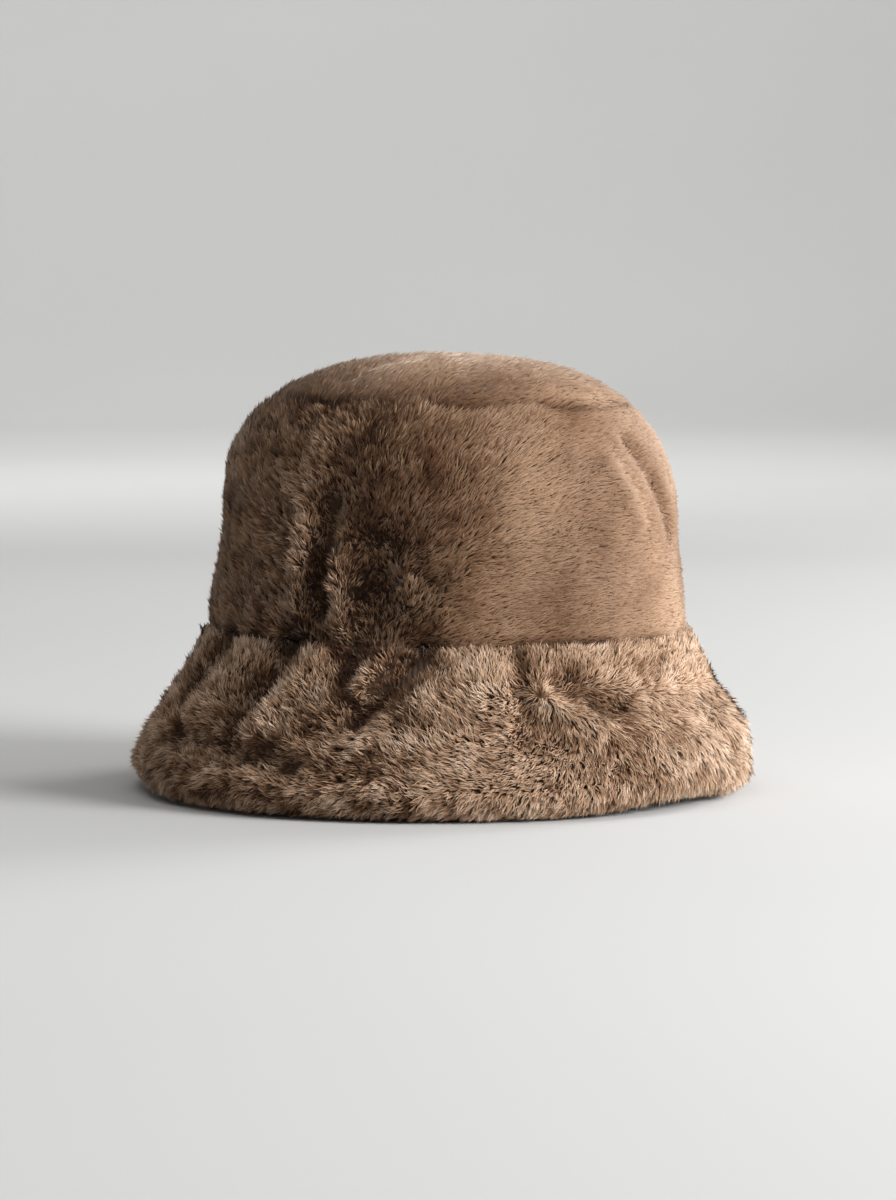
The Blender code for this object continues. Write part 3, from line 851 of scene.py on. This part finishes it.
# Over one unit of its vector, Blender's wave texture turns by this many radians
WAVE_TURNS = 20


def colour(text):
    """An sRGB hex colour as linear values."""
    parts = [int(text[start:start + 2], 16) / 255 for start in (1, 3, 5)]
    linear = [part / 12.92 if part <= 0.04045 else ((part + 0.055) / 1.055) ** 2.4 for part in parts]
    return (*linear, 1.0)


def new_material(name):
    """A new material, its nodes and links, and its shader."""
    material = bpy.data.materials.new(name)
    material.use_nodes = True
    return material, material.node_tree, material.node_tree.nodes["Principled BSDF"]


def add_node(tree, kind, settings=None, inputs=None):
    """Adds a node. An input's value is a number or colour, or the socket of another node to link to it."""
    made = tree.nodes.new(kind)
    for key, value in (settings or {}).items():
        setattr(made, key, value)
    for key, value in (inputs or {}).items():
        if isinstance(value, bpy.types.NodeSocket):
            tree.links.new(value, made.inputs[key])
        else:
            made.inputs[key].default_value = value
    return made


def set_stops(elements, stops):
    """Sets a colour ramp's elements to (position, hex colour) stops."""
    while len(elements) < len(stops):
        elements.new(0.5)
    for element, (position, text) in zip(elements, stops):
        element.position = position
        element.color = colour(text)


def acrylic_pile(name, stops, sheen):
    """Acrylic pile, brushed after it is knitted.

    It gives the eye soft dark roots, partly painted shade, and pale tips, partly painted sheen, that catch
    the light, a velvety sheen where it is seen from the side, and no two strands quite alike in shade.
    """
    material, tree, shader = new_material(name)
    strand = add_node(tree, "ShaderNodeUVMap", {"uv_map": "OFBake"})
    parts = add_node(tree, "ShaderNodeSeparateXYZ", inputs={"Vector": strand.outputs["UV"]})
    along = add_node(tree, "ShaderNodeValToRGB", inputs={"Fac": parts.outputs["Y"]})
    set_stops(along.color_ramp.elements, stops)
    dye = add_node(tree, "ShaderNodeValToRGB", inputs={"Fac": parts.outputs["X"]})
    set_stops(dye.color_ramp.elements, DYE_STOPS)
    dyed = add_node(tree, "ShaderNodeMix", {"data_type": "RGBA", "blend_type": "MULTIPLY"},
                    {"Factor": 1.0, "A": along.outputs["Color"], "B": dye.outputs["Color"]})
    tree.links.new(dyed.outputs["Result"], shader.inputs["Base Color"])
    gloss = add_node(tree, "ShaderNodeMapRange", inputs={
        "Value": parts.outputs["Y"], "From Min": 0.0, "From Max": 1.0, "To Min": 0.85, "To Max": 0.58})
    tree.links.new(gloss.outputs["Result"], shader.inputs["Roughness"])
    facing = add_node(tree, "ShaderNodeAttribute", {"attribute_name": "pile_face"})
    tree.links.new(facing.outputs["Vector"], shader.inputs["Normal"])
    shader.inputs["IOR"].default_value = ACRYLIC_IOR
    shader.inputs["Specular IOR Level"].default_value = 0.2
    shader.inputs["Sheen Weight"].default_value = sheen
    shader.inputs["Sheen Roughness"].default_value = 0.40
    shader.inputs["Sheen Tint"].default_value = colour("#F6E4D2")
    return material


def pile_roots(name, dark, light):
    """Dense matted acrylic pile roots: darker than the tips, partly as painted shade deep between tufts."""
    material, tree, shader = new_material(name)
    spots = add_node(tree, "ShaderNodeTexCoord")
    grain = add_node(tree, "ShaderNodeTexNoise", inputs={
        "Vector": spots.outputs["Object"], "Scale": 1 / SPECK, "Detail": 3.0})
    tone = add_node(tree, "ShaderNodeValToRGB", inputs={"Fac": grain.outputs["Fac"]})
    set_stops(tone.color_ramp.elements, ((0.3, dark), (0.7, light)))
    tree.links.new(tone.outputs["Color"], shader.inputs["Base Color"])
    bump = add_node(tree, "ShaderNodeBump", inputs={
        "Strength": 0.6, "Distance": SPECK_DEPTH, "Height": grain.outputs["Fac"]})
    tree.links.new(bump.outputs["Normal"], shader.inputs["Normal"])
    shader.inputs["Roughness"].default_value = 0.95
    return material


def knitted_backing():
    """The weft-knitted polyester that the pile is looped into: fine flat ribs, about 2 mm apart, and matt."""
    material, tree, shader = new_material("knitted_polyester_backing")
    spots = add_node(tree, "ShaderNodeTexCoord")
    ribs = add_node(tree, "ShaderNodeTexWave", {"bands_direction": "X"}, {
        "Vector": spots.outputs["UV"], "Scale": 2 * pi * RIBS_ROUND / WAVE_TURNS, "Distortion": 0.4,
        "Detail": 2.0})
    tone = add_node(tree, "ShaderNodeValToRGB", inputs={"Fac": ribs.outputs["Fac"]})
    set_stops(tone.color_ramp.elements, ((0.0, "#4E3C2E"), (1.0, "#77604D")))
    tree.links.new(tone.outputs["Color"], shader.inputs["Base Color"])
    bump = add_node(tree, "ShaderNodeBump", inputs={
        "Strength": 0.5, "Distance": RIB_DEPTH, "Height": ribs.outputs["Fac"]})
    tree.links.new(bump.outputs["Normal"], shader.inputs["Normal"])
    shader.inputs["Roughness"].default_value = 0.9
    return material


def seamless_paper():
    """Matt studio paper, pale grey, with a faint unevenness."""
    material, tree, shader = new_material("seamless_paper")
    spots = add_node(tree, "ShaderNodeTexCoord")
    drift = add_node(tree, "ShaderNodeTexNoise", inputs={
        "Vector": spots.outputs["Object"], "Scale": 1.2, "Detail": 2.0})
    tone = add_node(tree, "ShaderNodeValToRGB", inputs={"Fac": drift.outputs["Fac"]})
    set_stops(tone.color_ramp.elements, ((0.3, "#CACAC9"), (0.7, "#CECECD")))
    tree.links.new(tone.outputs["Color"], shader.inputs["Base Color"])
    shader.inputs["Roughness"].default_value = 0.9
    shader.inputs["Specular IOR Level"].default_value = 0.2
    return material


# The hat's pieces

TIP_PLACE = 1 + TIP_SEAM_PHASE / (pi / 2)
# Near enough to the tip's middle for the grid's last row to close there, and still to have a direction
TIP_MIDDLE = 1.99999


def dress(pieces, node):
    """Makes pieces part of the hat, in the place of a node of the part."""
    for piece in pieces:
        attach(piece, "root")
        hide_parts(node)


def make_hat():
    """The hat's four cloths: the backing of each, and the fur that grows from it."""
    # The roots' dark colours are partly painted shade deep in the pile
    short_roots = pile_roots("short_acrylic_roots_and_shade", "#302014", "#4A3424")
    deep_roots = pile_roots("deep_acrylic_roots_and_shade", "#3C2A1C", "#5C4433")
    knit = knitted_backing()
    brushed_pile = acrylic_pile("brushed_acrylic_pile", CROWN_STOPS, BRUSHED_SHEEN)
    fluffy_pile = acrylic_pile("fluffed_acrylic_pile", BRIM_STOPS, FLUFFED_SHEEN)

    wall = CROWN_WALL - CROWN_PILE.depth
    cloth = backing("crown_tip_backing", CROWN, TIP_PLACE, TIP_MIDDLE, TIP_ROWS, TIP_PILE.depth, wall,
                    short_roots, knit)
    fur = grow_fur("crown_tip_fur", CROWN, TIP_PLACE, TIP_MIDDLE, TIP_PILE, TIP_NAPS, brushed_pile,
                   seams=("first",))
    dress([cloth, *fur], "crown_tip")

    cloth = backing("crown_side_backing", CROWN, 0, TIP_PLACE, SIDE_ROWS, CROWN_PILE.depth, wall,
                    short_roots, knit)
    fur = grow_fur("crown_side_fur", CROWN, 0, TIP_PLACE, CROWN_PILE, CROWN_NAPS, brushed_pile,
                   halves=2, seams=("first", "last"))
    dress([cloth, *fur], "crown_side")

    cloth = backing("brim_top_backing", BRIM, -LIP_PLACES, 2, BRIM_ROWS, BRIM_PILE.depth, BACKING_WALL,
                    deep_roots, knit)
    fur = grow_fur("brim_top_fur", BRIM, -LIP_PLACES, 2, BRIM_PILE, BRIM_NAPS, fluffy_pile, halves=2)
    dress([cloth, *fur], "brim_top")

    cloth = backing("brim_under_backing", UNDER, 0, 2, UNDER_ROWS, UNDER_PILE.depth, BACKING_WALL,
                    deep_roots, knit)
    fur = grow_fur("brim_under_fur", UNDER, 0, 2, UNDER_PILE, UNDER_NAPS, fluffy_pile)
    dress([cloth, *fur], "brim_under")


# The studio

FLOOR_RADIUS = 3.2
FLOOR_SIDES = 96
# A point farther out than this share of the floor's radius is on its outline
ON_OUTLINE = 0.99
COVE_RADIUS = 1.6
COVE_STEPS = 12


def make_stage():
    """A round studio floor that curves up into its wall all round."""
    bpy.ops.object.select_all(action="DESELECT")
    bpy.ops.mesh.primitive_circle_add(vertices=FLOOR_SIDES, radius=FLOOR_RADIUS, fill_type="TRIFAN")
    floor = bpy.context.object
    floor.name = "studio_floor"
    bpy.ops.object.mode_set(mode="EDIT")
    bpy.ops.mesh.select_all(action="DESELECT")
    bpy.ops.mesh.select_mode(type="EDGE")
    bpy.ops.object.mode_set(mode="OBJECT")
    for edge in floor.data.edges:
        first, second = (floor.data.vertices[index].co for index in edge.vertices)
        edge.select = min(first.length, second.length) > FLOOR_RADIUS * ON_OUTLINE
    bpy.ops.object.mode_set(mode="EDIT")
    radius, height = FLOOR_RADIUS, 0.0
    for step in range(1, COVE_STEPS + 1):
        angle = pi / 2 * step / COVE_STEPS
        next_radius = FLOOR_RADIUS + COVE_RADIUS * sin(angle)
        next_height = COVE_RADIUS * (1 - cos(angle))
        bpy.ops.mesh.extrude_region_move(TRANSFORM_OT_translate={"value": (0, 0, next_height - height)})
        growth = next_radius / radius
        bpy.ops.transform.resize(value=(growth, growth, 1), center_override=(0, 0, 0))
        radius, height = next_radius, next_height
    bpy.ops.object.mode_set(mode="OBJECT")
    bpy.ops.object.shade_smooth()
    floor.data.materials.append(seamless_paper())


# Soft round lamps. Places are from the hat: aside to the image's right, near towards the camera, and up, in
# metres. A lamp aims at a near and a height straight before or behind the hat. Power is in watts.
Lamp = namedtuple("Lamp", "name aside near height aim_near aim_height size power")
LAMPS = (
    Lamp("key_softbox", 1.75, 0.9, 0.85, 0, 0.1, 1.0, 61),
    Lamp("overhead_softbox", -0.5, 0.3, 2.3, 0, 0.05, 1.2, 8.5),
    Lamp("rim_softbox", 1.5, -1.1, 0.9, 0, 0.1, 0.9, 24),
    Lamp("fill_softbox", -1.2, -1.9, 0.8, 0, 0.09, 1.2, 6),
    Lamp("backdrop_softbox", 0.0, -2.1, 1.8, -4.6, 0.7, 1.8, 37),
)

# The room is dark on the image's left and bright on its right. Its colours change over the directions between
# these two, counted from -1, straight to the left, to 1, straight to the right.
ROOM_STOPS = ((0, "#2E2A26"), (1, "#F4F4F4"))
ROOM_DARK = -0.35
ROOM_BRIGHT = 0.9


def camera_back():
    """The way from the hat to the camera."""
    return Vector((sin(CAMERA_AZIMUTH) * cos(CAMERA_ELEVATION),
                   -cos(CAMERA_AZIMUTH) * cos(CAMERA_ELEVATION), sin(CAMERA_ELEVATION)))


def make_lamps():
    """Soft lamps round the hat, one for the wall behind it, and the light of the room."""
    level = Vector((sin(CAMERA_AZIMUTH), -cos(CAMERA_AZIMUTH), 0))
    right = Vector((-level.y, level.x, 0))
    for lamp in LAMPS:
        light = bpy.data.lights.new(lamp.name, "AREA")
        light.shape = "DISK"
        light.size = lamp.size
        light.energy = lamp.power
        holder = bpy.data.objects.new(lamp.name, light)
        holder.location = right * lamp.aside + level * lamp.near + Vector((0, 0, lamp.height))
        aim = level * lamp.aim_near + Vector((0, 0, lamp.aim_height)) - holder.location
        holder.rotation_euler = aim.to_track_quat("-Z", "Y").to_euler()
        holder.visible_camera = False
        bpy.context.scene.collection.objects.link(holder)
    world = bpy.data.worlds.new("studio")
    world.use_nodes = True
    tree = world.node_tree
    ways = add_node(tree, "ShaderNodeTexCoord")
    side = add_node(tree, "ShaderNodeVectorMath", {"operation": "DOT_PRODUCT"}, {
        0: ways.outputs["Generated"], 1: right})
    share = add_node(tree, "ShaderNodeMapRange", inputs={
        "Value": side.outputs["Value"], "From Min": ROOM_DARK, "From Max": ROOM_BRIGHT})
    tone = add_node(tree, "ShaderNodeValToRGB", inputs={"Fac": share.outputs["Result"]})
    set_stops(tone.color_ramp.elements, ROOM_STOPS)
    tree.links.new(tone.outputs["Color"], tree.nodes["Background"].inputs["Color"])
    tree.nodes["Background"].inputs["Strength"].default_value = 1.0
    bpy.context.scene.world = world
    bpy.context.scene.view_settings.view_transform = "Standard"


def make_camera():
    """The photograph's side of the hat, above the floor, the lens long as the photograph's is."""
    camera = bpy.data.cameras.new("photo_camera")
    camera.sensor_width = SENSOR
    frame_height = PHOTO_HEIGHT * MM_PER_PIXEL / 1000
    camera.lens = SENSOR * CAMERA_DISTANCE / frame_height
    holder = bpy.data.objects.new("photo_camera", camera)
    back = camera_back()
    holder.location = CAMERA_AIM + back * CAMERA_DISTANCE
    holder.rotation_euler = (-back).to_track_quat("-Z", "Y").to_euler()
    bpy.context.scene.collection.objects.link(holder)
    bpy.context.scene.camera = holder


make_hat()
make_stage()
make_lamps()
make_camera()
